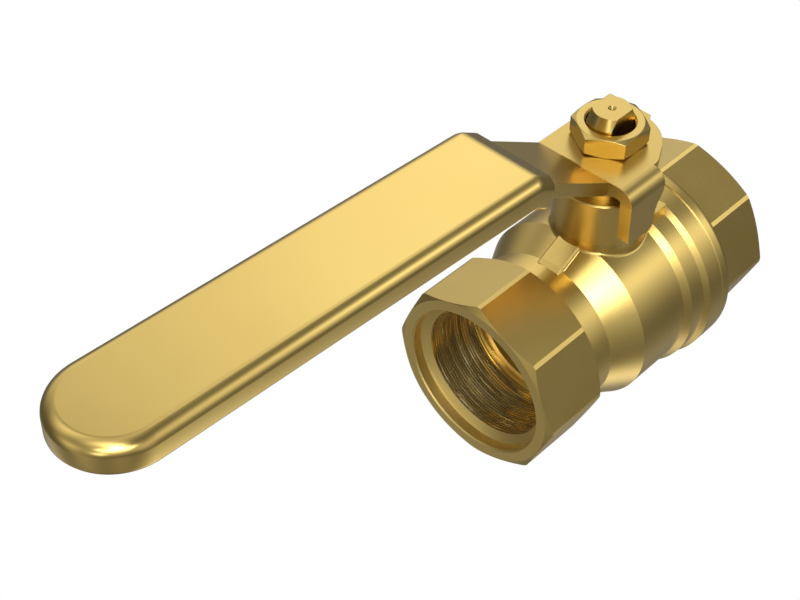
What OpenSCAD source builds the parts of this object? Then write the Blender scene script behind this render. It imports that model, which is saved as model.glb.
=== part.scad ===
// Quarter-turn ball valve with two female threaded ports and a long sleeved lever.
// Frame: origin at the centre of the inlet end face, +X along the pipe to the outlet, +Z up the stem. Millimetres.
// The valve is drawn open: the lever lies along the pipe and points back over the inlet.

/* [Ports] */
// Width across the flats of the eight-sided ends
across_flats = 40; // [39.6:0.1:40.4]
// Width of the flat that breaks each long corner of the eight-sided ends
corner_break = 1.0; // [0.4:0.1:1.4]
// Length of the eight-sided end at the inlet
inlet_flats_len = 17.2; // [16.8:0.1:17.6]
// Radius of the threaded wall, measured at the root of the 1 inch parallel pipe thread
thread_r = 16.62; // [16.6:0.01:16.7]
// Radius of the plain counterbore in front of the thread
counterbore_r = 17.3; // [17.1:0.1:17.6]
// Depth of the plain counterbore
counterbore_depth = 2.5; // [1.5:0.1:3]
// Depth at which the thread ends, measured from the end face
thread_end = 17.8; // [17.2:0.1:18]
// Radius of the flow passage behind the thread
passage_r = 12.9; // [12.7:0.1:13.2]

/* [Body] */
// Distance from the inlet face to the stem axis
stem_x = 38.8; // [38.7:0.1:38.9]
// Overall length from face to face
face_to_face = 74.8; // [74.5:0.1:75.2]
// Radius of the neck behind the inlet flats
neck_r = 17.9; // [17.8:0.1:18.2]
// Radius of the barrel over the ball
barrel_r = 21.6; // [21.5:0.05:21.7]
// Radius of the first step behind the ball
step1_r = 22.75; // [22.6:0.05:22.9]
// Radius of the second step, over the joint with the end cap
step2_r = 23.7; // [23.5:0.1:24]
// Radius of the round stem housing
boss_r = 10.2; // [10.1:0.1:10.4]
// Height of the top of the stem housing above the pipe axis
boss_top = 33.3; // [33.2:0.1:33.6]

/* [Ball and seats] */
// Radius of the ball
ball_r = 18; // [17.9:0.05:18.1]
// Radius of the hole through the ball
ball_bore_r = 12.5; // [11.5:0.1:12.6]
// Running clearance between the ball and its seats
seat_gap = 0.05; // [0.03:0.01:0.09]

/* [Stem] */
// Radius of the stem shank
stem_r = 6.0; // [5.9:0.05:6.05]
// Radius of the threaded stem end
stem_tip_r = 5.0; // [4.9:0.05:5.05]
// Half distance between the two flats of the stem end
stem_flat = 3.2; // [3:0.05:3.4]
// Height of the stem tip above the pipe axis
stem_top = 50.7; // [50.4:0.1:51.2]

/* [Lever] */
// Thickness of the lever bar
bar_t = 2.85; // [2.7:0.05:2.9]
// Height of the top of the lever's hub plate above the pipe axis
hub_top = 43.3; // [43.2:0.1:43.5]
// Half width of the lever bar
bar_half = 9.1; // [8.9:0.1:9.2]
// Distance from the inlet face to the bend between hub plate and neck
hub_bend_x = 27.6; // [27.4:0.1:27.8]
// Distance from the inlet face to the bend between neck and grip
grip_bend_x = 3.8; // [3:0.1:4.5]
// Fall of the neck towards the hub plate, in degrees
neck_fall = 30.5; // [30:0.1:31]
// Rise of the grip towards its tip, in degrees
grip_rise = 2.9; // [2.4:0.1:3.4]
// Distance the lever reaches back beyond the inlet face
grip_reach = 94.8; // [90:0.2:100]

/* [Grip sleeve] */
// Thickness of the sleeve above and below the bar
sleeve_wall = 1.7; // [1.5:0.05:1.8]
// Half width of the sleeve
sleeve_half = 11.1; // [10.9:0.1:11.4]
// Radius of the sleeve's upper edges
sleeve_edge_r = 2.5; // [2:0.1:2.8]
// Radius of the sleeve's lower edges
sleeve_low_r = 0.9; // [0.6:0.1:1.2]
// Length of sleeve past the bend, down the neck
sleeve_skirt = 5.0; // [4:0.1:6]

/* [Nut] */
// Width across the flats of the lever nut
nut_af = 14; // [13.8:0.1:14.2]
// Height of the lever nut
nut_h = 4.5; // [4.2:0.1:4.8]

/* [Hidden] */
$fn = 96;

brass = [0.80, 0.62, 0.28];
gold = [0.84, 0.67, 0.32];
white_plastic = [0.93, 0.93, 0.90];
black_rubber = [0.08, 0.08, 0.08];
bright_metal = [0.80, 0.80, 0.82];

oct_r = across_flats / 2 / cos(22.5);        // radius to the sharp corners
face_r = across_flats / 2 - 0.1;             // end-face circle, just inside the flats
joint_x = 55.8;                              // plane where body and end cap meet
flange_end = 59;                             // rear of the end cap's round flange
cap_bore_start = 46.6;                       // start of the thread that takes the end cap
cavity_r = 18.6;                             // ball cavity
seat_or = 16.4;                              // seat pocket
seat_x0 = 24.2;                              // back of the inlet seat
seat_x1 = 29.0;                              // mouth of the inlet seat's pocket
male_r = 20.45;                              // thread of the end cap
female_r = 20.5;                             // thread in the body that takes it
shoulder_start = 23.8;
shoulder_end = 30.7;
rib_x = 22.45;                               // where the front rib's upper face starts
rib_z = 17.88;
rib_slope = 27.5;
collar_r = 7.5;
collar_z0 = 18.3;
collar_z1 = 20.3;
washer_z1 = 21.0;
pack_z0 = 24.0;
pack_r = 8.1;
hub_bottom = hub_top - bar_t;
nut_top = hub_top + nut_h;

// Bends of the lever bar, in the XZ plane: points on its upper face
bend_hub = [hub_bend_x, hub_top];
bend_grip = [grip_bend_x, hub_top + (hub_bend_x - grip_bend_x) * tan(neck_fall)];
hub_bend_r = 1.5;                            // inside radius of the bend at the hub
hub_bend_d = hub_bend_r * tan(neck_fall / 2);
grip_bend_half = (neck_fall - grip_rise) / 2;
tip_len = (grip_reach - sleeve_half + grip_bend_x) / cos(grip_rise);   // from the grip bend to the centre of the round tip
tip_x = sleeve_half - grip_reach;              // centre of the round tip
sleeve_depth = bar_t + 2 * sleeve_wall;
tab_out = 15.1;                              // outer face of the stop tab
tab_bend_r = 3.25;                           // outside radius of the tab's bend

// Turns a profile drawn as [x, r] into a solid of revolution about the pipe axis
module about_pipe(pts) {
    rotate([0, 90, 0]) rotate([0, 0, 180]) rotate_extrude($fn = 128)
        polygon([for (p = pts) [p[1], p[0]]]);
}

// Eight-sided bar with its corners broken, a corner on top
module flats_bar(x0, x1) {
    h = across_flats / 2;
    t = h * tan(22.5) - corner_break / 2 / cos(22.5);
    pts = [for (i = [0:7]) for (k = [-1, 1])
        let (a = i * 45 + 22.5) [h * cos(a) - k * t * sin(a), h * sin(a) + k * t * cos(a)]];
    translate([x0, 0, 0]) rotate([0, 90, 0]) linear_extrude(x1 - x0) polygon(pts);
}

// Bored and counterbored thread opening, drawn from the end face at x = 0 inwards
module port_hole(depth) {
    about_pipe([[-1, 0], [-1, counterbore_r + 0.3], [0, counterbore_r + 0.3], [0.3, counterbore_r],
                [counterbore_depth, counterbore_r], [counterbore_depth + 0.5, thread_r], [thread_end, thread_r],
                [thread_end, passage_r + 0.5], [thread_end + 0.5, passage_r], [depth, passage_r], [depth, 0]]);
}

// Places its children in the outlet's mirrored position
module at_outlet() { translate([face_to_face, 0, 0]) mirror([1, 0, 0]) children(); }

module body_outside() {
    intersection() {
        flats_bar(0, inlet_flats_len + 1);
        about_pipe([[0, 0], [0, face_r], [1.0, oct_r + 0.05], [inlet_flats_len - 1.35, oct_r + 0.05],
                    [inlet_flats_len, across_flats / 2], [inlet_flats_len, 0]]);
    }
    // neck, conical shoulder, barrel and the two steps behind it
    about_pipe([[1, 0], [1, neck_r - 0.3], [inlet_flats_len - 0.1, neck_r - 0.3], [inlet_flats_len - 0.1, neck_r],
                [shoulder_start, neck_r], [shoulder_end, barrel_r], [44.5, barrel_r], [46.0, step1_r], [50.2, step1_r], [51.3, step2_r],
                [joint_x - 0.25, step2_r], [joint_x, step2_r - 0.25], [joint_x, 0]]);
    // stem housing
    translate([stem_x, 0, 10]) cylinder(r = boss_r, h = boss_top - 10 - 0.3);
    translate([stem_x, 0, boss_top - 0.3]) cylinder(r1 = boss_r, r2 = boss_r - 0.3, h = 0.3);
    // front rib, falling alongside the shoulder to the neck, its long edges broken
    intersection() {
        translate([0, 2.9, 0]) rotate([90, 0, 0]) linear_extrude(5.8)
            polygon([[rib_x - 0.15, 14], [rib_x - 0.15, rib_z - 0.28], [rib_x, rib_z], [rib_x + 6.85, rib_z + 6.85 * tan(rib_slope)],
                     [33, rib_z + 6.85 * tan(rib_slope)], [33, 14]]);
        translate([rib_x, 0, rib_z]) rotate([0, -rib_slope, 0]) rotate([90, 0, 90])
            translate([0, 0, -8]) linear_extrude(30) polygon([[-2.9, -30], [-2.9, -0.35], [-2.55, 0], [-2.55, 3], [2.55, 3], [2.55, 0], [2.9, -0.35], [2.9, -30]]);
    }
    // rear platform, milled flat behind the stem housing, its edges broken
    translate([stem_x, 0, 14]) rotate([90, 0, 90]) linear_extrude(50.0 - stem_x)
        polygon([[-bar_half, 0], [-bar_half, 9.75], [-bar_half + 0.25, 10], [bar_half - 0.25, 10], [bar_half, 9.75], [bar_half, 0]]);
}

module body() {
    color(brass) difference() {
        body_outside();
        port_hole(24.3);
        // pocket for the inlet seat, ball cavity and the thread for the end cap
        about_pipe([[seat_x0, 0], [seat_x0, seat_or], [seat_x1, seat_or], [seat_x1, cavity_r], [cap_bore_start, cavity_r],
                    [cap_bore_start, female_r], [joint_x - 0.5, female_r], [joint_x + 0.01, female_r + 0.5],
                    [joint_x + 1, female_r + 0.5], [joint_x + 1, 0]]);
        // stem: collar recess, stem hole, packing chamber
        translate([stem_x, 0, 10]) cylinder(r = collar_r + 0.2, h = washer_z1 - 10);
        translate([stem_x, 0, 15]) cylinder(r = stem_r + 0.06, h = boss_top);
        translate([stem_x, 0, pack_z0]) cylinder(r = pack_r, h = boss_top);
    }
}

module end_cap() {
    color(brass) difference() {
        union() {
            intersection() {
                flats_bar(flange_end - 1, face_to_face);
                about_pipe([[flange_end - 1, 0], [flange_end - 1, oct_r + 0.05], [face_to_face - 1.0, oct_r + 0.05],
                            [face_to_face, face_r], [face_to_face, 0]]);
            }
            about_pipe([[47.4, 0], [47.4, male_r - 0.5], [47.9, male_r], [joint_x, male_r],
                        [joint_x, step2_r - 0.3], [joint_x + 0.25, step2_r - 0.05], [57.7, step2_r - 0.05],
                        [58.2, step2_r - 0.15], [58.65, step2_r - 0.42], [flange_end, step2_r - 0.85],
                        [flange_end, 0]]);
        }
        at_outlet() port_hole(face_to_face - 53.3);
        about_pipe([[47, 0], [47, seat_or + 0.6], [47.8, seat_or], [2 * stem_x - seat_x0, seat_or], [2 * stem_x - seat_x0, 0]]);
        // the nose is relieved round the ball
        translate([stem_x, 0, 0]) sphere(r = ball_r + 0.35, $fn = 128);
    }
}

module ball() {
    color(bright_metal) translate([stem_x, 0, 0]) difference() {
        sphere(r = ball_r, $fn = 128);
        rotate([0, 90, 0]) cylinder(r = ball_bore_r, h = 50, center = true);
        for (s = [-1, 1]) translate([s * 20.55, 0, 0]) cube([16, 50, 50], center = true);
        // slot for the stem's tang, across the flow
        translate([-2.55, -25, 13.6]) cube([5.1, 50, 10]);
    }
}

// Sealing ring on the inlet side of the ball; the outlet one is its mirror image
module seat_ring() {
    difference() {
        about_pipe([[seat_x0, passage_r - 0.1], [seat_x0, seat_or - 0.3], [seat_x0 + 0.3, seat_or - 0.02], [28.6, seat_or - 0.02],
                    [28.9, seat_or - 0.32], [28.9, passage_r - 0.1]]);
        translate([stem_x, 0, 0]) sphere(r = ball_r + seat_gap, $fn = 128);
    }
}

module inlet_seat() { color(white_plastic) seat_ring(); }

module outlet_seat() { color(white_plastic) translate([2 * stem_x, 0, 0]) mirror([1, 0, 0]) seat_ring(); }

module body_seal_ring() {
    color(white_plastic) about_pipe([[cap_bore_start, cavity_r + 0.1], [cap_bore_start, female_r - 0.03],
                                     [47.4, female_r - 0.03], [47.4, cavity_r + 0.1]]);
}

module stem() {
    color(brass) translate([stem_x, 0, 0]) difference() {
        union() {
            // tang that turns the ball
            translate([-2.5, -5.5, 14.1]) cube([5, 11, collar_z0 - 14.1 + 0.5]);
            // collar that keeps the stem from being blown out
            translate([0, 0, collar_z0]) cylinder(r = collar_r, h = collar_z1 - collar_z0);
            translate([0, 0, collar_z0]) cylinder(r = stem_r, h = hub_bottom - collar_z0);
            intersection() {
                union() {
                    translate([0, 0, hub_bottom - 1]) cylinder(r = stem_tip_r, h = nut_top + 0.5 - hub_bottom + 1);
                    translate([0, 0, nut_top + 0.5]) cylinder(r1 = stem_tip_r, r2 = stem_tip_r - 1.05, h = stem_top - nut_top - 0.5);
                }
                translate([-10, -stem_flat, hub_bottom - 2]) cube([20, 2 * stem_flat, 20]);
            }
        }
        // O-ring groove
        translate([0, 0, 21.7]) difference() {
            cylinder(r = stem_r + 1, h = 1.6);
            translate([0, 0, -1]) cylinder(r = stem_r - 1.15, h = 4);
        }
        // centre mark in the tip
        translate([0, 0, stem_top - 0.6]) cylinder(r1 = 0.1, r2 = 0.87, h = 0.601);
    }
}

module stem_o_ring() {
    color(black_rubber) translate([stem_x, 0, 22.5]) rotate_extrude($fn = 96)
        translate([stem_r - 0.575, 0]) circle(r = 0.575, $fn = 32);
}

module flat_ring(ri, ro, z0, z1) {
    translate([stem_x, 0, z0]) difference() {
        cylinder(r = ro, h = z1 - z0);
        translate([0, 0, -1]) cylinder(r = ri, h = z1 - z0 + 2);
    }
}

module thrust_washer() { color(white_plastic) flat_ring(stem_r + 0.05, collar_r + 0.1, collar_z1 + 0.03, washer_z1); }
module packing_lower() { color(white_plastic) flat_ring(stem_r + 0.05, pack_r - 0.02, pack_z0, 26.2); }
module packing_upper() { color(white_plastic) flat_ring(stem_r + 0.05, pack_r - 0.02, 26.2, 28.4); }
module packing_follower() { color(brass) flat_ring(stem_r + 0.06, pack_r - 0.05, 28.4, 29.8); }

module gland_nut() {
    color(brass) translate([stem_x, 0, 0]) difference() {
        union() {
            translate([0, 0, 29.8]) cylinder(r = pack_r - 0.05, h = boss_top - 29.8 + 0.1);
            translate([0, 0, boss_top]) cylinder(r = 8.3, h = 4.4);
            translate([0, 0, boss_top + 4.4]) cylinder(r1 = 8.3, r2 = 7.8, h = 0.5);
        }
        translate([0, 0, 20]) cylinder(r = stem_r + 0.06, h = 30);
        // two slots for a pin spanner
        translate([-10, -1.25, boss_top + 3.1]) cube([20, 2.5, 4]);
    }
}

// Moves its children, drawn with the grip level and its bend at the origin, to the grip's place
module grip_frame() { translate([bend_grip[0], 0, bend_grip[1]]) rotate([0, grip_rise, 0]) children(); }

// The same for the stretch that follows the neck
module neck_frame() { translate([bend_grip[0], 0, bend_grip[1]]) rotate([0, neck_fall, 0]) children(); }

// Half space in front of (s = 1) or behind (s = -1) the plane that halves the grip bend
module bend_half(s) {
    translate([bend_grip[0], 0, bend_grip[1]]) rotate([0, (grip_rise + neck_fall) / 2, 0])
        translate([s > 0 ? 0 : -120, -30, -30]) cube([120, 60, 60]);
}

// Cross-section of the sleeve, [y, z] with z = 0 on the bar's upper face, rounder above than below
module sleeve_section() {
    top = sleeve_wall;
    low = sleeve_wall - sleeve_depth;
    w = sleeve_half;
    translate([-w + sleeve_edge_r, low]) square([2 * (w - sleeve_edge_r), sleeve_depth]);
    translate([-w + sleeve_low_r, low]) square([2 * (w - sleeve_low_r), sleeve_depth - sleeve_edge_r]);
    translate([-w, low + sleeve_low_r]) square([2 * w, sleeve_depth - sleeve_edge_r - sleeve_low_r]);
    for (s = [-1, 1]) {
        translate([s * (w - sleeve_edge_r), top - sleeve_edge_r]) circle(r = sleeve_edge_r);
        translate([s * (w - sleeve_low_r), low + sleeve_low_r]) circle(r = sleeve_low_r);
    }
}

// Straight sleeve stretch from x0 to x1 in a level frame
module sleeve_run(x0, x1) { translate([x0, 0, 0]) rotate([90, 0, 90]) linear_extrude(x1 - x0) sleeve_section(); }

module sleeve_outside() {
    intersection() {
        grip_frame() {
            sleeve_run(-tip_len, 10);
            translate([-tip_len, 0, 0]) rotate_extrude($fn = 128) intersection() {
                sleeve_section();
                translate([0, -10]) square([20, 20]);
            }
        }
        bend_half(-1);
    }
    intersection() {
        neck_frame() intersection() {
            sleeve_run(-10, sleeve_skirt);
            // the open end, its corners broken in plan and in height
            translate([-12, 0, -20]) linear_extrude(40) polygon([[0, -20], [sleeve_skirt + 11.0, -20], [sleeve_skirt + 11.0, -sleeve_half],
                [sleeve_skirt + 12, -sleeve_half + 1.2], [sleeve_skirt + 12, sleeve_half - 1.2], [sleeve_skirt + 11.0, sleeve_half], [sleeve_skirt + 11.0, 20], [0, 20]]);
            rotate([90, 0, 0]) translate([0, 0, -20]) linear_extrude(40) polygon([[-12, -20], [sleeve_skirt - 0.7, -20], [sleeve_skirt - 0.7, sleeve_wall - sleeve_depth],
                [sleeve_skirt, sleeve_wall - sleeve_depth + 0.7], [sleeve_skirt, sleeve_wall - 1.0], [sleeve_skirt - 1.0, sleeve_wall], [sleeve_skirt - 1.0, 20], [-12, 20]]);
        }
        bend_half(1);
    }
}

// Side view of the lever bar from beyond the tip to beyond the hub plate, [x, z], enlarged by e for the sleeve's hollow
function bar_profile(e) = let (
        along = tip_len + bar_half + 2,
        mid = (grip_rise + neck_fall) / 2,
        c = [hub_bend_x + hub_bend_d, hub_top + hub_bend_r],
        out = hub_bend_r + bar_t + e,
        back = [-cos(grip_rise), sin(grip_rise)],
        normal = [sin(grip_rise), cos(grip_rise)],
        mitre = [sin(mid), cos(mid)] / cos(grip_bend_half))
    concat([bend_grip + along * back + e * normal, bend_grip + e * mitre],
        [for (i = [0:8]) let (a = neck_fall * (1 - i / 8)) c - (hub_bend_r - e) * [sin(a), cos(a)]],
        [[55, hub_top + e], [55, hub_bottom - e]],
        [for (i = [0:8]) let (a = neck_fall * i / 8) c - out * [sin(a), cos(a)]],
        [bend_grip - (bar_t + e) * mitre, bend_grip + along * back - (bar_t + e) * normal]);

// Bent strip as thick as the bar, cut to the outline given as a child and to the bar's round tip
module bent_strip(e) {
    intersection() {
        translate([0, 15, 0]) rotate([90, 0, 0]) linear_extrude(30) polygon(bar_profile(e));
        translate([0, 0, 30]) linear_extrude(50) {
            translate([tip_x, 0]) circle(r = bar_half + e, $fn = 128);
            children();
        }
    }
}

module lever() {
    color(gold) difference() {
        union() {
            // bar, neck and hub plate with its cut-away rear corner
            bent_strip(0) polygon(concat(
                [[tip_x, bar_half], [50.4, bar_half], [50.7, bar_half - 0.3], [50.7, -1.6], [49.6, -2.3]],
                [for (a = [-12:-6:-66]) [stem_x + 10.9 * cos(a), 10.9 * sin(a)]],
                [[40.3, -11.6], [39.3, -11.85], [27.6, -11.85], [27.6, -bar_half], [tip_x, -bar_half]]));
            // stop tab, bent down beside the stem housing
            translate([27.6, -tab_out + tab_bend_r, hub_top - tab_bend_r]) rotate([0, 90, 0]) linear_extrude(10.7) intersection() {
                difference() {
                    circle(r = tab_bend_r);
                    circle(r = tab_bend_r - bar_t);
                }
                translate([-10, -10]) square([10, 10]);
            }
            translate([0, -tab_out + bar_t, 0]) rotate([90, 0, 0]) linear_extrude(bar_t) polygon([
                [27.6, hub_top - tab_bend_r], [38.3, hub_top - tab_bend_r], [38.2, 38.7], [37.6, 37.4], [36.7, 36.2], [36.2, 34.6],
                [36.1, 31.1], [35.7, 30.3], [34.9, 30.0], [29.2, 30.0], [28.4, 30.3], [28.1, 31.1], [27.9, 34]]);
        }
        // hole with two flats, so the lever turns the stem
        intersection() {
            translate([stem_x, 0, hub_bottom - 1]) cylinder(r = stem_tip_r + 0.06, h = bar_t + 2);
            translate([stem_x - 10, -stem_flat - 0.06, hub_bottom - 1]) cube([20, 2 * stem_flat + 0.12, bar_t + 2]);
        }
    }
}

module grip_sleeve() {
    color(gold) difference() {
        sleeve_outside();
        bent_strip(0.02) translate([tip_x, -bar_half - 0.02]) square([30 - tip_x, 2 * bar_half + 0.04]);
    }
}

module lever_nut() {
    nr = nut_af / 2 / cos(30);
    color(gold) translate([stem_x, 0, hub_top]) difference() {
        intersection() {
            linear_extrude(nut_h) polygon([for (i = [0:5]) [nr * cos(i * 60), nr * sin(i * 60)]]);
            union() {
                cylinder(r1 = nr - 1.2, r2 = nr + 0.02, h = 0.6);
                translate([0, 0, 0.6]) cylinder(r = nr + 0.02, h = nut_h - 1.2);
                translate([0, 0, nut_h - 0.6]) cylinder(r1 = nr + 0.02, r2 = nr - 1.2, h = 0.6);
            }
        }
        translate([0, 0, -1]) cylinder(r = stem_tip_r + 0.03, h = nut_h + 2);
        translate([0, 0, nut_h - 0.35]) cylinder(r1 = stem_tip_r + 0.03, r2 = stem_tip_r + 0.39, h = 0.36);
    }
}

body();
end_cap();
ball();
inlet_seat();
outlet_seat();
body_seal_ring();
stem();
stem_o_ring();
thrust_washer();
packing_lower();
packing_upper();
packing_follower();
gland_nut();
lever();
grip_sleeve();
lever_nut();
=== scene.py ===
import math

import bmesh
import bpy
import numpy as np
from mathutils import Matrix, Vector


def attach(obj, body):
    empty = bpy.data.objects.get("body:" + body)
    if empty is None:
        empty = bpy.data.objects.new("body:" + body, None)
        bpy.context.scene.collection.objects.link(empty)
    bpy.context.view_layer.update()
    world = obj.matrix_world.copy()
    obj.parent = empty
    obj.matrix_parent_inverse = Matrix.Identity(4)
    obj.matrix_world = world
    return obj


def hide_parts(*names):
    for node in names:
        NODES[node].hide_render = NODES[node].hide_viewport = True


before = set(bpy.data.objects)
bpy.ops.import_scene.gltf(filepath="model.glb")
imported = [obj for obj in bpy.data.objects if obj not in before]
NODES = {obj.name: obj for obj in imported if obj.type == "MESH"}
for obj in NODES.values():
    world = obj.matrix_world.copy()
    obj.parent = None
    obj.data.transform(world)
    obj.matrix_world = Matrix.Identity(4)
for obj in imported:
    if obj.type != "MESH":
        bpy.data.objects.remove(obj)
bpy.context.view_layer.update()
MM = 0.001

# ---------------------------------------------------------------- camera

scene = bpy.context.scene
cam = bpy.data.cameras.new("camera")
cam.sensor_fit = "HORIZONTAL"
cam.sensor_width = 36.0
cam.lens = 66.0
cam.clip_start = 0.01
cam.clip_end = 20.0
camera = bpy.data.objects.new("camera", cam)
scene.collection.objects.link(camera)
az, el = math.radians(44.363), math.radians(44.614)
look = Vector((math.cos(az) * math.cos(el), math.sin(az) * math.cos(el), -math.sin(el)))
camera.location = (-0.1587, -0.1340, 0.2287)
camera.rotation_euler = look.to_track_quat("-Z", "Y").to_euler()
scene.camera = camera

# ---------------------------------------------------------------- small mesh helpers


def new_object(name, verts, faces, mat, smooth_angle=None, weld=0.0):
    """A mesh piece from points in millimetres; its faces are turned outwards."""
    mesh = bpy.data.meshes.new(name)
    mesh.from_pydata([tuple(c * MM for c in v) for v in verts], [], faces)
    bm = bmesh.new()
    bm.from_mesh(mesh)
    if weld:
        bmesh.ops.remove_doubles(bm, verts=bm.verts, dist=weld * MM)
    bmesh.ops.dissolve_degenerate(bm, edges=bm.edges, dist=1e-8)
    bmesh.ops.recalc_face_normals(bm, faces=bm.faces)
    for f in bm.faces:
        f.smooth = smooth_angle is not None
    if smooth_angle is not None:
        for e in bm.edges:
            if len(e.link_faces) == 2 and e.calc_face_angle(0.0) > math.radians(smooth_angle):
                e.smooth = False
    bm.to_mesh(mesh)
    bm.free()
    mesh.materials.append(mat)
    obj = bpy.data.objects.new(name, mesh)
    scene.collection.objects.link(obj)
    return obj


def weighted(obj):
    m = obj.modifiers.new("weighted", "WEIGHTED_NORMAL")
    m.keep_sharp = True
    m.weight = 100
    return obj


# ---------------------------------------------------------------- materials


def metal(name, color, dark, rough, rough_var=0.015, cloud=0.0, cloud_scale=60.0, grain=0.0, grain_scale=2600.0,
          edge=0.0, inner=None, high=None, end=None):
    """Satin metal: a base colour that drifts a little over the piece, fine grain in the roughness, faint waviness."""
    m = bpy.data.materials.new(name)
    m.use_nodes = True
    nt = m.node_tree
    N, L = nt.nodes, nt.links
    N.clear()
    out = N.new("ShaderNodeOutputMaterial")
    p = N.new("ShaderNodeBsdfPrincipled")
    L.new(p.outputs["BSDF"], out.inputs["Surface"])
    p.inputs["Metallic"].default_value = 1.0
    tc = N.new("ShaderNodeTexCoord")
    # slow drift of colour
    n1 = N.new("ShaderNodeTexNoise")
    n1.inputs["Scale"].default_value = 45.0
    n1.inputs["Detail"].default_value = 3.0
    L.new(tc.outputs["Object"], n1.inputs["Vector"])
    r1 = N.new("ShaderNodeMapRange")
    r1.inputs["From Min"].default_value = 0.35
    r1.inputs["From Max"].default_value = 0.65
    L.new(n1.outputs["Fac"], r1.inputs["Value"])
    mix = N.new("ShaderNodeMix")
    mix.data_type = "RGBA"
    mix.inputs["A"].default_value = (*dark, 1)
    mix.inputs["B"].default_value = (*color, 1)
    L.new(r1.outputs["Result"], mix.inputs["Factor"])
    tone = mix.outputs["Result"]
    cut = None
    if inner:
        # duller metal where the ports are cut, and a painted shade in the passage: a darker, more orange colour
        # stands in for the light bouncing inside it; both by the distance from the axis
        flat = N.new("ShaderNodeVectorMath")
        flat.operation = "MULTIPLY"
        flat.inputs[1].default_value = (0.0, 1.0, 1.0)
        L.new(tc.outputs["Object"], flat.inputs[0])
        dist = N.new("ShaderNodeVectorMath")
        dist.operation = "LENGTH"
        L.new(flat.outputs["Vector"], dist.inputs[0])
        bore = N.new("ShaderNodeMapRange")
        bore.inputs["From Min"].default_value = 17.45 * MM
        bore.inputs["From Max"].default_value = 17.60 * MM
        bore.inputs["To Min"].default_value = 1.0
        bore.inputs["To Max"].default_value = 0.0
        L.new(dist.outputs["Value"], bore.inputs["Value"])
        passage = N.new("ShaderNodeMapRange")
        passage.inputs["From Min"].default_value = 14.70 * MM
        passage.inputs["From Max"].default_value = 14.90 * MM
        L.new(dist.outputs["Value"], passage.inputs["Value"])
        both = N.new("ShaderNodeMath")
        both.operation = "MULTIPLY"
        L.new(bore.outputs["Result"], both.inputs[0])
        L.new(passage.outputs["Result"], both.inputs[1])
        cut = both.outputs["Value"]
        port = N.new("ShaderNodeMix")
        port.data_type = "RGBA"
        port.inputs["B"].default_value = (*inner, 1)
        L.new(cut, port.inputs["Factor"])
        L.new(tone, port.inputs["A"])
        # painted shade: inside the passage the colour turns to a darker orange that stands in for the
        # inter-reflections there
        passage_shade = N.new("ShaderNodeMix")
        passage_shade.data_type = "RGBA"
        passage_shade.inputs["A"].default_value = (0.66, 0.40, 0.09, 1)
        L.new(passage.outputs["Result"], passage_shade.inputs["Factor"])
        L.new(port.outputs["Result"], passage_shade.inputs["B"])
        tone = passage_shade.outputs["Result"]
    L.new(tone, p.inputs["Base Color"])
    # roughness: slow patches plus fine grain
    n2 = N.new("ShaderNodeTexNoise")
    n2.inputs["Scale"].default_value = 90.0
    n2.inputs["Detail"].default_value = 2.0
    L.new(tc.outputs["Object"], n2.inputs["Vector"])
    r2 = N.new("ShaderNodeMapRange")
    r2.inputs["From Min"].default_value = 0.3
    r2.inputs["From Max"].default_value = 0.7
    r2.inputs["To Min"].default_value = rough - rough_var
    r2.inputs["To Max"].default_value = rough + rough_var
    L.new(n2.outputs["Fac"], r2.inputs["Value"])
    rough_out = r2.outputs["Result"]
    # rougher metal above a height, before a place along the pipe and where the ports are cut
    for axis, place in (("Z", high), ("X", end)):
        if place is None:
            continue
        axes = N.new("ShaderNodeSeparateXYZ")
        L.new(tc.outputs["Object"], axes.inputs[0])
        lift = N.new("ShaderNodeMapRange")
        lift.inputs["From Min"].default_value = place[0] * MM
        lift.inputs["From Max"].default_value = place[1] * MM
        lift.inputs["To Min"].default_value = 0.0
        lift.inputs["To Max"].default_value = place[2]
        L.new(axes.outputs[axis], lift.inputs["Value"])
        plus = N.new("ShaderNodeMath")
        plus.operation = "ADD"
        L.new(rough_out, plus.inputs[0])
        L.new(lift.outputs["Result"], plus.inputs[1])
        rough_out = plus.outputs["Value"]
    if cut is not None:
        part = N.new("ShaderNodeMath")
        part.operation = "MULTIPLY"
        part.inputs[1].default_value = 0.12
        L.new(cut, part.inputs[0])
        plus = N.new("ShaderNodeMath")
        plus.operation = "ADD"
        L.new(rough_out, plus.inputs[0])
        L.new(part.outputs["Value"], plus.inputs[1])
        rough_out = plus.outputs["Value"]
    L.new(rough_out, p.inputs["Roughness"])
    height = None
    if cloud:
        n3 = N.new("ShaderNodeTexNoise")
        n3.inputs["Scale"].default_value = cloud_scale
        n3.inputs["Detail"].default_value = 1.5
        L.new(tc.outputs["Object"], n3.inputs["Vector"])
        b = N.new("ShaderNodeBump")
        b.inputs["Strength"].default_value = 1.0
        b.inputs["Distance"].default_value = cloud * MM
        L.new(n3.outputs["Fac"], b.inputs["Height"])
        height = b
    if grain:
        n4 = N.new("ShaderNodeTexNoise")
        n4.inputs["Scale"].default_value = grain_scale
        n4.inputs["Detail"].default_value = 2.0
        L.new(tc.outputs["Object"], n4.inputs["Vector"])
        b = N.new("ShaderNodeBump")
        b.inputs["Strength"].default_value = 1.0
        b.inputs["Distance"].default_value = grain * MM
        L.new(n4.outputs["Fac"], b.inputs["Height"])
        if height:
            L.new(height.outputs["Normal"], b.inputs["Normal"])
        height = b
    if edge:
        bev = N.new("ShaderNodeBevel")
        bev.samples = 6
        bev.inputs["Radius"].default_value = edge * MM
        if height:
            first = height
            while first.inputs["Normal"].is_linked:
                first = first.inputs["Normal"].links[0].from_node
            L.new(bev.outputs["Normal"], first.inputs["Normal"])
        else:
            height = bev
    if height:
        L.new(height.outputs["Normal"], p.inputs["Normal"])
    return m


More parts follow.
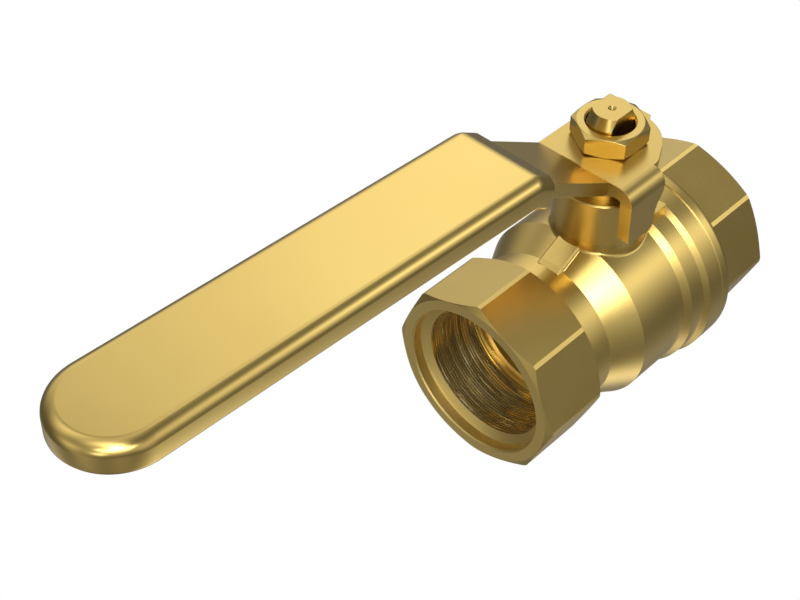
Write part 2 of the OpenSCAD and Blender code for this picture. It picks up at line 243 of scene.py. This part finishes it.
BRASS = (0.70, 0.511, 0.158)
BRASS_DARK = (0.67, 0.480, 0.145)
ROUGH = 0.24
body_brass = metal("forged_brass", BRASS, BRASS_DARK, 0.27, cloud=0.004, cloud_scale=70,
                   inner=(0.72, 0.54, 0.185), high=(22.5, 23.5, 0.12), end=(23.9, 23.5, 0.05))
stem_brass = metal("turned_brass", (0.60, 0.436, 0.135), (0.575, 0.41, 0.125), ROUGH, edge=0.08)
lever_brass = metal("lever_brass", (0.64, 0.467, 0.145), (0.61, 0.438, 0.133), 0.30, cloud=0.006, cloud_scale=45,
                    edge=0.10)
sleeve_brass = metal("sleeve_brass", BRASS, BRASS_DARK, 0.19, cloud=0.015, cloud_scale=38)
# painted shade: a dark brown on the groove faces of the port threads stands in for the shade down in the grooves
thread_groove_shade = metal("thread_groove_shade", (0.34, 0.26, 0.12), (0.27, 0.20, 0.09), 0.45)
# painted light: the thread lands get a paler, brighter brass than the body, which makes up for the shade and the
# orange inter-reflections inside the port
thread_brass_lightened = metal("thread_brass_lightened", (0.95, 0.82, 0.45), (0.85, 0.72, 0.38), 0.27)
nut_brass = metal("nut_brass", (0.60, 0.436, 0.135), (0.575, 0.41, 0.125), ROUGH - 0.02, edge=0.16)
chrome = metal("plated_ball", (0.78, 0.79, 0.80), (0.70, 0.71, 0.73), 0.10, rough_var=0.03)


def waxy(name, color, dark, rough, scale):
    m = bpy.data.materials.new(name)
    m.use_nodes = True
    nt = m.node_tree
    p = nt.nodes["Principled BSDF"]
    tc = nt.nodes.new("ShaderNodeTexCoord")
    n = nt.nodes.new("ShaderNodeTexNoise")
    n.inputs["Scale"].default_value = scale
    n.inputs["Detail"].default_value = 4.0
    nt.links.new(tc.outputs["Object"], n.inputs["Vector"])
    mix = nt.nodes.new("ShaderNodeMix")
    mix.data_type = "RGBA"
    mix.inputs["A"].default_value = (*dark, 1)
    mix.inputs["B"].default_value = (*color, 1)
    nt.links.new(n.outputs["Fac"], mix.inputs["Factor"])
    nt.links.new(mix.outputs["Result"], p.inputs["Base Color"])
    r = nt.nodes.new("ShaderNodeMapRange")
    r.inputs["To Min"].default_value = rough - 0.08
    r.inputs["To Max"].default_value = rough + 0.08
    nt.links.new(n.outputs["Fac"], r.inputs["Value"])
    nt.links.new(r.outputs["Result"], p.inputs["Roughness"])
    b = nt.nodes.new("ShaderNodeBump")
    b.inputs["Distance"].default_value = 0.003 * MM
    nt.links.new(n.outputs["Fac"], b.inputs["Height"])
    nt.links.new(b.outputs["Normal"], p.inputs["Normal"])
    return m


ptfe = waxy("seat_plastic", (0.86, 0.86, 0.83), (0.78, 0.78, 0.74), 0.42, 700)
rubber = waxy("ring_rubber", (0.025, 0.025, 0.027), (0.015, 0.015, 0.016), 0.55, 900)

LOOKS = {
    "body": body_brass, "end_cap": body_brass, "gland_nut": stem_brass, "packing_follower": stem_brass,
    "stem": stem_brass, "lever": lever_brass, "lever_nut": nut_brass, "ball": chrome,
    "inlet_seat": ptfe, "outlet_seat": ptfe, "body_seal_ring": ptfe, "thrust_washer": ptfe,
    "packing_lower": ptfe, "packing_upper": ptfe, "stem_o_ring": rubber, "grip_sleeve": sleeve_brass,
}
for name, look_mat in LOOKS.items():
    o = NODES[name]
    o.data.materials.clear()
    o.data.materials.append(look_mat)

# ---------------------------------------------------------------- grip sleeve

FALL, RISE = math.radians(30.5), math.radians(2.9)
MID, HALF_BEND = (FALL + RISE) / 2, (FALL - RISE) / 2
BEND = np.array([3.8, 43.3 + (27.6 - 3.8) * math.tan(FALL)])
BACK = np.array([-math.cos(RISE), math.sin(RISE)])
DOWN = np.array([math.cos(FALL), -math.sin(FALL)])
NG = np.array([math.sin(RISE), math.cos(RISE)])
NN = np.array([math.sin(FALL), math.cos(FALL)])
MITRE = np.array([math.sin(MID), math.cos(MID)]) / math.cos(HALF_BEND)
TIP_LEN = (94.8 - 11.1 + 3.8) / math.cos(RISE)
TOP_R = 4.0                       # radius of the soft bend on the upper face
H_TOP, H_LOW = 1.68, 1.7 - 6.25


def path_point(station, h):
    """[x, z] at height h over the bar's upper face; station is (kind, value) along the sleeve."""
    kind, v = station
    if kind == "grip":            # v = distance back from the bend, square to the grip
        return BEND + v * BACK + h * NG
    if kind == "neck":
        return BEND + v * DOWN + h * NN
    vertex = BEND + h * MITRE
    rho = max(TOP_R + (h - H_TOP), 0.35)
    t = rho * math.tan(HALF_BEND)
    if kind == "grip_v":          # v = distance back from the bend's corner at this height
        return vertex + max(v, t) * BACK
    if kind == "neck_v":
        return vertex + max(v, t) * DOWN
    # kind == "arc": v from -1 (grip side) to 1 (neck side)
    centre = vertex + t * BACK - rho * NG
    ang = v * HALF_BEND + MID
    return centre + rho * np.array([math.sin(ang), math.cos(ang)])


# the sleeve's upper edge as (steepness, length) from the crown down to the side
EDGE = ((20, 0.44), (27, 0.46), (34, 0.44), (41, 0.44), (50, 0.42), (60, 0.40), (70, 0.38), (82, 0.45))


def half_profile(w, top, low, r_top, r_low, inset=0.0, n_low=5):
    """From the crown line to the underside's middle: (distance from the middle plane, height)."""
    w, top, low = w - inset, top - inset, low + inset
    rt, rl = max(r_top - inset, 0.02), max(r_low - inset, 0.02)
    pts = [(0.0, top), ((w - rt) * 0.5, top), (w - rt - 0.1, top)]
    reach = sum(length * math.cos(math.radians(t)) for t, length in EDGE)
    d, h = w - reach * rt / r_top, top
    pts.append((d, h))
    for t, length in EDGE:
        d += length * rt / r_top * math.cos(math.radians(t))
        h -= length * rt / r_top * math.sin(math.radians(t))
        pts.append((d, h))
    mid_h = (top - rt + low + rl) / 2
    pts.append((w, mid_h))
    for i in range(n_low):
        a = math.pi / 2 * i / (n_low - 1)
        pts.append((w - rl + rl * math.cos(a), low + rl - rl * math.sin(a)))
    pts.append((w - rl - 0.25, low))
    pts.append(((w - rl) * 0.5, low))
    pts.append((0.0, low))
    return pts


def sleeve_shell(profile_at, stations, tip_len, n_tip=40):
    """Verts and faces of an open shell: a round tip, then one loop per station. Returns them and the last loop."""
    verts, faces = [], []

    def loop(station, prof):
        ring = []
        for side in (1, -1):
            seq = prof if side == 1 else prof[::-1][1:-1]
            for d, h in seq:
                x, z = path_point(station, h)
                verts.append((x, side * d, z))
                ring.append(len(verts) - 1)
        return ring

    loops = [loop(s, profile_at(i)) for i, s in enumerate(stations)]
    for a, b in zip(loops, loops[1:]):
        n = len(a)
        for k in range(n):
            faces.append((a[k], a[(k + 1) % n], b[(k + 1) % n], b[k]))
    # the tip, a half turn of the half profile about the tip's own upright
    prof = profile_at(0)
    n = len(prof)
    first = loops[0]
    columns = []
    for j in range(n_tip + 1):
        phi = -math.pi / 2 + math.pi * j / n_tip
        col = []
        for k, (d, h) in enumerate(prof):
            if d < 1e-9:
                col.append(first[0] if k == 0 else first[n - 1])
                continue
            if j == n_tip:
                col.append(first[k])
                continue
            if j == 0:
                col.append(first[(2 * (n - 1) - k) % (2 * (n - 1))])
                continue
            along = tip_len + d * math.cos(phi)
            x, z = BEND + along * BACK + h * NG
            verts.append((x, d * math.sin(phi), z))
            col.append(len(verts) - 1)
        columns.append(col)
    for a, b in zip(columns, columns[1:]):
        for k in range(n - 1):
            quad = [a[k], b[k], b[k + 1], a[k + 1]]
            quad = [q for i, q in enumerate(quad) if q not in quad[:i]]
            if len(quad) > 2:
                faces.append(tuple(quad))
    return verts, faces, loops[-1]


SKIRT, END_R = 5.0, 0.9
stations = [("grip", v) for v in (TIP_LEN, TIP_LEN - 6, TIP_LEN - 18, TIP_LEN - 32, 46, 34, 22, 12, 5)]
stations += [("grip_v", 1.9)] + [("arc", -1 + i * 0.2) for i in range(11)] + [("neck_v", 1.5)]
n_plain = len(stations)
lip = []
for i in range(7):
    b = math.pi / 2 * i / 6
    stations.append(("neck", SKIRT - END_R + END_R * math.sin(b)))
    lip.append(END_R * (1 - math.cos(b)))


def outer_profile(i):
    inset = 0.0 if i < n_plain else lip[i - n_plain]
    return half_profile(11.1, H_TOP, H_LOW, 2.5, 0.9, inset)


v1, f1, end1 = sleeve_shell(outer_profile, stations, TIP_LEN)


def inner_profile(i):
    w, top, low = 9.125, 0.025, -2.875
    n_top, n_low = 9, 5
    pts = [(0.0, top), (w * 0.45, top), (w * 0.9, top)]
    pts += [(w, top - 0.02 * k) for k in range(n_top)]
    pts.append((w, (top + low) / 2))
    pts += [(w, low + 0.02 * (n_low - 1 - k)) for k in range(n_low)]
    pts += [(w * 0.9, low), (w * 0.45, low), (0.0, low)]
    return pts


inner_stations = [("grip", v) for v in (TIP_LEN, TIP_LEN - 32, 30, 6)]
inner_stations += [("grip_v", 1.9), ("arc", -1.0), ("arc", -0.5), ("arc", 0.0), ("arc", 0.5), ("arc", 1.0), ("neck_v", 1.5), ("neck", SKIRT)]
v2, f2, end2 = sleeve_shell(inner_profile, inner_stations, TIP_LEN, 24)
base = len(v1)
verts = v1 + v2
faces = f1 + [tuple(i + base for i in f) for f in f2]
n = len(end1)
for k in range(n):
    faces.append((end1[k], end1[(k + 1) % n], end2[(k + 1) % n] + base, end2[k] + base))
sleeve = new_object("grip_sleeve_skin", verts, faces, sleeve_brass, smooth_angle=50)
weighted(sleeve)
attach(sleeve, "handle")
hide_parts("grip_sleeve")

# ---------------------------------------------------------------- threads in both ports

X0, X1 = 3.70, 17.75
CREST, ROOT_DEPTH, PITCH = 15.4, 0.32, 0.66
KNOTS = 10                        # changes of the chatter in one turn


def thread_ring(name, place):
    seg = 144
    prof = [(0.0, 0.0), (0.70, 0.0), (0.85, 1.0)]     # (phase, share of the depth): a land, then a groove
    turns = int((X1 - X0) / PITCH) + 2
    verts, faces = [], []

    def fade(x):
        s = min(1.0, max(0.0, min((x - X0) / 0.12, (X1 - x) / 0.4)))
        return s * s * (3 - 2 * s)

    total = turns * seg
    m = len(prof)
    chatter = np.random.RandomState(7).uniform(-1.0, 1.0, turns * KNOTS + 3)
    for i in range(total + 1):
        a = 2 * math.pi * i / seg
        # the cutter's chatter: the land tips a little one way and the other along the helix
        k, t = divmod(i * KNOTS / seg, 1.0)
        t = t * t * (3 - 2 * t)
        tip = 0.075 * float(chatter[int(k)] * (1 - t) + chatter[int(k) + 1] * t)
        for ph, depth in prof:
            x = X0 + PITCH * (i / seg - 1.0 + ph)
            x = min(max(x, X0), X1)
            r = CREST + (ROOT_DEPTH * depth + (0.06 + tip * (1 - 2.86 * ph) if depth == 0 else 0.0)) * fade(x)
            verts.append((x, r * math.cos(a), r * math.sin(a)))
    for i in range(total):
        for j in range(m - 1):
            faces.append((i * m + j, i * m + j + 1, (i + 1) * m + j + 1, (i + 1) * m + j))
        k = i + seg                      # the same angle, one turn on
        if k < total:
            faces.append((i * m + m - 1, k * m, (k + 1) * m, (i + 1) * m + m - 1))
    # rings that close it: front circle, front cone to the wall, wall, back face
    def circle(x, r):
        first = len(verts)
        for i in range(seg):
            a = 2 * math.pi * i / seg
            verts.append((x, r * math.cos(a), r * math.sin(a)))
        return first

    rows = [circle(X0, CREST), circle(2.78, 16.95), circle(3.04, 16.60), circle(X1 + 0.04, 16.60), circle(X1, CREST)]
    for a, b in zip(rows, rows[1:]):
        for i in range(seg):
            j = (i + 1) % seg
            faces.append((a + i, a + j, b + j, b + i))
    verts = [place(v) for v in verts]
    faces = [f for f in faces if len(set(f)) == len(f)]
    obj = new_object(name, verts, faces, thread_brass_lightened, smooth_angle=25, weld=0.0005)
    obj.data.materials.append(thread_groove_shade)
    obj.data.materials.append(body_brass)
    for poly in obj.data.polygons:
        px, py, pz = (c / MM for c in poly.center)
        x, r = place((px, py, pz))[0], math.hypot(py, pz)
        if x < X0 - 0.01 or r > 16.0:
            poly.material_index = 2
        # the groove faces take the painted groove shade
        elif r > CREST + 0.13:
            poly.material_index = 1
    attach(obj, "valve_body")
    return obj


thread_ring("inlet_thread", lambda v: v)
thread_ring("outlet_thread", lambda v: (74.8 - v[0], v[1], -v[2]))

# ---------------------------------------------------------------- fillet at the foot of the stem housing

STEM_X, BOSS_R, BARREL_R, RHO = 38.8, 10.2, 21.6, 0.85
CONE_X0, CONE_X1, NECK_R = 23.8, 30.7, 17.9
CONE = math.atan2(BARREL_R - NECK_R, CONE_X1 - CONE_X0)


def skin(x):
    """Radius of the neck, shoulder and barrel at x."""
    return NECK_R + (BARREL_R - NECK_R) * min(1.0, max(0.0, (x - CONE_X0) / (CONE_X1 - CONE_X0)))


def rolling(x, rho):
    """Radius on which a ball of radius rho rolls over the barrel and the shoulder, and the direction to its foot."""
    flat = BARREL_R + rho
    cone = NECK_R + (x - CONE_X0) * math.tan(CONE) + rho / math.cos(CONE)
    return (flat, (0.0, 1.0)) if flat <= cone else (cone, (-math.sin(CONE), math.cos(CONE)))


def arc_between(c, d0, d1, radius, arc):
    om = math.acos(max(-1.0, min(1.0, float(d0 @ d1))))
    return [tuple(c + radius * (math.sin((1 - j / arc) * om) * d0 + math.sin(j / arc * om) * d1) / math.sin(om))
            for j in range(arc + 1)]


def strip_piece(name, rows):
    """A closed bar from rows of points; its ends are capped."""
    m = len(rows[0])
    verts = [v for row in rows for v in row]
    faces = []
    for i in range(len(rows) - 1):
        for j in range(m):
            faces.append((i * m + j, i * m + (j + 1) % m, (i + 1) * m + (j + 1) % m, (i + 1) * m + j))
    faces.append(tuple(range(m)))
    faces.append(tuple((len(rows) - 1) * m + j for j in range(m)))
    obj = new_object(name, verts, faces, body_brass, smooth_angle=50)
    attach(obj, "valve_body")
    return obj


def boss_fillet(name, a0, a1, steps=60, arc=8):
    rows = []
    for i in range(steps + 1):
        a = math.radians(a0 + (a1 - a0) * i / steps)
        cx, cy = STEM_X + (BOSS_R + RHO) * math.cos(a), (BOSS_R + RHO) * math.sin(a)
        roll, n = rolling(cx, RHO)
        cz = math.sqrt(roll * roll - cy * cy)
        c = np.array([cx, cy, cz])
        radial = np.array([0.0, cy / roll, cz / roll])
        to_skin = -(np.array([n[0], 0.0, 0.0]) + n[1] * radial)
        to_boss = np.array([-math.cos(a), -math.sin(a), 0.0])
        row = arc_between(c, to_boss, to_skin, RHO * 1.004, arc)
        inner = np.array([STEM_X + (BOSS_R - 0.4) * math.cos(a), (BOSS_R - 0.4) * math.sin(a), 0.0])
        inner[2] = math.sqrt(skin(inner[0]) ** 2 - inner[1] ** 2) - 0.4
        row.append(tuple(inner))
        rows.append(row)
    return strip_piece(name, rows)


boss_fillet("housing_fillet_near", -163.0, -58.0)
boss_fillet("housing_fillet_far", 58.0, 163.0)

RIB_HALF, RIB_R = 2.9, 0.32


def rib_fillet(name, side, x0, x1, steps=24, arc=6):
    """Fillet between a side face of the front rib and the shoulder."""
    rows = []
    for i in range(steps + 1):
        x = x0 + (x1 - x0) * i / steps
        y = side * (RIB_HALF + RIB_R)
        cone = x >= CONE_X0 - RIB_R * math.tan(CONE / 2)
        roll = NECK_R + (x - CONE_X0) * math.tan(CONE) + RIB_R / math.cos(CONE) if cone else NECK_R + RIB_R
        n = (-math.sin(CONE), math.cos(CONE)) if cone else (0.0, 1.0)
        z = math.sqrt(roll * roll - y * y)
        c = np.array([x, y, z])
        radial = np.array([0.0, y / roll, z / roll])
        to_skin = -(np.array([n[0], 0.0, 0.0]) + n[1] * radial)
        to_rib = np.array([0.0, -float(side), 0.0])
        row = arc_between(c, to_rib, to_skin, RIB_R * 1.006, arc)
        inner = c + RIB_R * to_rib + np.array([0.0, -0.25 * side, -RIB_R - 0.5])
        row.append(tuple(inner))
        rows.append(row)
    return strip_piece(name, rows)


rib_fillet("rib_fillet_near", -1, 23.3, 29.6)
rib_fillet("rib_fillet_far", 1, 23.3, 29.6)

# ---------------------------------------------------------------- studio

world = bpy.data.worlds.new("studio")
scene.world = world
world.use_nodes = True
wt = world.node_tree
wt.nodes.clear()
w_out = wt.nodes.new("ShaderNodeOutputWorld")
w_bg = wt.nodes.new("ShaderNodeBackground")
w_bg.inputs["Color"].default_value = (1, 1, 1, 1)
w_dir = wt.nodes.new("ShaderNodeVectorMath")
w_dir.operation = "NORMALIZE"
wt.links.new(wt.nodes.new("ShaderNodeTexCoord").outputs["Generated"], w_dir.inputs[0])

# soft white panels around the piece: (azimuth, height, strength, tightness)
PANELS = [
    (-108, 36, 6.0, 120), (-125, 47, 11.0, 120), (-148, 39, 4.8, 150), (-128, 60, 5.4, 120), (-115, 22, 1.5, 110),
    (-138, 29, 3.2, 120), (-129, 16, 0.8, 110), (-127, 37, 6.5, 120), (-44, 29, 1.35, 60), (37, 34, 0.30, 70),
    (-68, -62, 1.15, 34), (-46, -46, 0.12), (-8, -52, 0.06), (12, 56, 0.42, 60), (-150, 10, 2.4, 80), (-152, 70, 1.3, 60),
    (-170, 64, 0.75), (-54, -67, 0.36), (105, 59, 0.96), (40, 39, 0.80), (165, 19, 0.70), (-57, 17, 0.60),
    (0, 81, 0.60), (80, 16, 0.52), (125, 43, 0.52), (-90, 11, 0.50), (28, 20, 0.50), (116, -56, 0.49),
    (60, 27, 0.49), (-25, 24, 0.36), (-155, -2, 0.25), (173, -8, 0.28), (20, 54, 0.35), (48, 10, 0.34),
    (-162, 26, 0.28), (-77, 29, 0.30), (-179, -38, 0.30), (-122, 4, 0.26),
    (-45, 36, 0.08), (-82, -16, 0.20), (-127, -43, 0.20), (45, -45, 0.28),
]
EVEN = 0.132                      # even light from all round
WIDTH = 22.0


def w_math(op, a, b):
    n = wt.nodes.new("ShaderNodeMath")
    n.operation = op
    for i, v in enumerate((a, b)):
        if v is None:
            continue
        if isinstance(v, float):
            n.inputs[i].default_value = v
        else:
            wt.links.new(v, n.inputs[i])
    return n.outputs["Value"]


total_light = None
for panel in PANELS:
    p_az, p_el, power = math.radians(panel[0]), math.radians(panel[1]), panel[2]
    tight = panel[3] if len(panel) > 3 else WIDTH
    dot = wt.nodes.new("ShaderNodeVectorMath")
    dot.operation = "DOT_PRODUCT"
    wt.links.new(w_dir.outputs["Vector"], dot.inputs[0])
    dot.inputs[1].default_value = (math.cos(p_az) * math.cos(p_el), math.sin(p_az) * math.cos(p_el), math.sin(p_el))
    lobe = w_math("EXPONENT", w_math("MULTIPLY", w_math("SUBTRACT", dot.outputs["Value"], 1.0), float(tight)), None)
    lobe = w_math("MULTIPLY", lobe, float(power))
    total_light = lobe if total_light is None else w_math("ADD", total_light, lobe)
wt.links.new(w_math("ADD", total_light, EVEN), w_bg.inputs["Strength"])
wt.links.new(w_bg.outputs["Background"], w_out.inputs["Surface"])

# floor and backdrop: pale, seen by the camera, left out of the metal's reflections
paper = bpy.data.materials.new("paper_white")
paper.use_nodes = True
pt = paper.node_tree
pt.nodes.clear()
p_out = pt.nodes.new("ShaderNodeOutputMaterial")
p_em = pt.nodes.new("ShaderNodeEmission")
p_em.inputs["Color"].default_value = (1, 1, 1, 1)
p_em.inputs["Strength"].default_value = 1.0
pt.links.new(p_em.outputs["Emission"], p_out.inputs["Surface"])

scene.view_settings.view_transform = "Standard"
scene.view_settings.look = "None"

sx, sy = 3.0, 3.0
floor_mesh = bpy.data.meshes.new("floor")
floor_mesh.from_pydata([(-sx, -sy, -0.06), (sx, -sy, -0.06), (sx, sy, -0.06), (-sx, sy, -0.06)], [], [(0, 1, 2, 3)])
floor_mesh.materials.append(paper)
floor = bpy.data.objects.new("floor", floor_mesh)
scene.collection.objects.link(floor)

# backdrop: a wide shell round the floor, so that low and lower views also look at pale paper
ring, rows = 48, 24
dome_verts = [(0.0, 0.0, -4.0)]
for i in range(1, rows):
    t = math.pi * i / rows
    for j in range(ring):
        a = 2 * math.pi * j / ring
        dome_verts.append((4.0 * math.sin(t) * math.cos(a), 4.0 * math.sin(t) * math.sin(a), -4.0 * math.cos(t)))
dome_verts.append((0.0, 0.0, 4.0))
dome_faces = [(0, 1 + (j + 1) % ring, 1 + j) for j in range(ring)]
for i in range(rows - 2):
    for j in range(ring):
        a, b = 1 + i * ring + j, 1 + i * ring + (j + 1) % ring
        dome_faces.append((a, b, b + ring, a + ring))
last = len(dome_verts) - 1
dome_faces += [(last, last - ring + j, last - ring + (j + 1) % ring) for j in range(ring)]
dome_mesh = bpy.data.meshes.new("backdrop")
dome_mesh.from_pydata(dome_verts, [], dome_faces)
dome_mesh.materials.append(paper)
dome = bpy.data.objects.new("backdrop", dome_mesh)
scene.collection.objects.link(dome)

for sheet in (floor, dome):
    sheet.visible_glossy = False
    sheet.visible_diffuse = False
    sheet.visible_transmission = False
    sheet.visible_shadow = False
